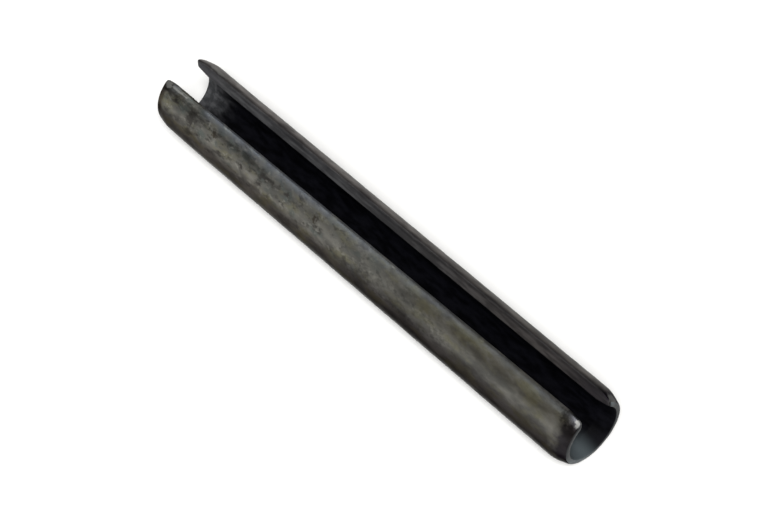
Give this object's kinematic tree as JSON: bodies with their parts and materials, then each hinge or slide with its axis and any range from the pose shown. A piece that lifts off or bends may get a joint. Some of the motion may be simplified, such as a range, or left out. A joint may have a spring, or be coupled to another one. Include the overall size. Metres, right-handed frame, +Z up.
{
  "type": "slotted spring pin",
  "caption": "Slotted spring pin rolled from steel strip, with an open slot along it and tapered ends, driven into a hole to lock or locate parts.",
  "frame": {"origin": "on the pin's axis, half way between its end faces", "axes": "+X along the pin to its head end, the narrower one, which goes into the hole first; +Z up, out through the middle of the slot; the pin lies on its back with the slot open upwards"},
  "size_m": [0.04, 0.0056, 0.0053],
  "materials": {
    "phosphated_spring_steel": "dark phosphate, oiled, with rubbed lip edges"
  },
  "bodies": {
    "root": {"spring_pin": "phosphated_spring_steel"}
  },
  "joints": []
}
